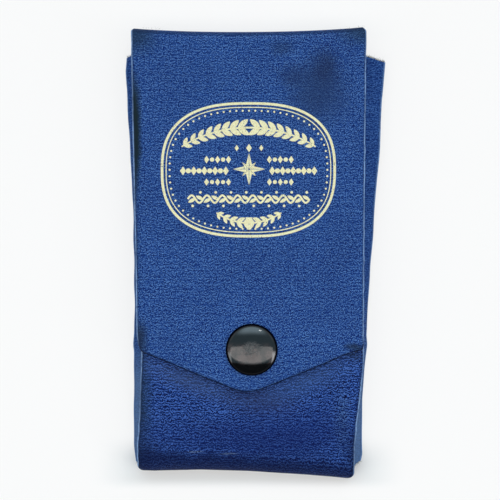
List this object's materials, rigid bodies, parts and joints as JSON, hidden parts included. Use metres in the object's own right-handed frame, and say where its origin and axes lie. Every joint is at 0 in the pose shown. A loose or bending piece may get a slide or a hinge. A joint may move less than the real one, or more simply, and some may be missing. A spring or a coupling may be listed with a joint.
{
  "type": "drafting instrument case",
  "caption": "Flat pocket wallet in blue leathercloth for drafting instruments: gusseted pocket, hinged spine and a long pointed flap that shuts with a black press stud.",
  "frame": {"origin": "on the back's flat outer face, on the middle line of the top fold, halfway from the top fold to the bottom crease", "axes": "+X to the right across the front, +Y along the case to the top fold, +Z out of the front, away from the surface that the case lies on"},
  "size_m": [0.0762, 0.1322, 0.0135],
  "materials": {
    "leathercloth": "fine grained, satin, worn and grimed along the edges",
    "gusset_cloth": "smooth blue book cloth with a raw cut edge",
    "lining": "thin dull blue lining cloth",
    "board": "plain grey-brown case board",
    "black_enamel": "glossy black enamel",
    "brass": "plain, slightly dull",
    "spring_wire": "bright drawn wire"
  },
  "bodies": {
    "back": {"back_cover": "leathercloth", "back_board": "board", "back_lining": "lining", "base_cover": "leathercloth", "base_lining": "lining", "base_crease": "leathercloth", "left_gusset": "gusset_cloth", "right_gusset": "gusset_cloth", "lower_fold": "leathercloth"},
    "pocket_front": {"pocket_cover": "leathercloth", "pocket_board": "board", "pocket_lining": "lining", "snap_stud": "brass", "stud_post": "brass"},
    "spine": {"spine_cover": "leathercloth", "spine_board": "board", "spine_lining": "lining", "upper_fold": "leathercloth"},
    "flap": {"flap_cover": "leathercloth", "flap_board": "board", "flap_lining": "lining", "snap_cap": "black_enamel", "cap_post": "brass", "snap_socket": "brass", "socket_spring": "spring_wire"}
  },
  "joints": [
    {"name": "spine_fold", "type": "hinge", "parent": "back", "child": "spine", "pos_m": [0, 0.06255, 0], "axis": [-1, 0, 0], "range_deg": [0, 89], "deforming": ["lower_fold"]},
    {"name": "flap_fold", "type": "hinge", "parent": "spine", "child": "flap", "pos_m": [0, 0.06255, 0.01055], "axis": [-1, 0, 0], "range_deg": [0, 89], "deforming": ["upper_fold"]},
    {"name": "pocket_open", "type": "hinge", "parent": "back", "child": "pocket_front", "pos_m": [0, -0.06195, 0.0083], "axis": [0.9999, -0.014, 0], "range_deg": [0, 4], "deforming": ["left_gusset", "right_gusset", "base_crease"]}
  ],
  "couplings": [
    {"joint": "spine_fold", "follows": "flap_fold", "ratio": 1},
    {"joint": "pocket_open", "follows": "flap_fold", "ratio": 0.0449}
  ]
}
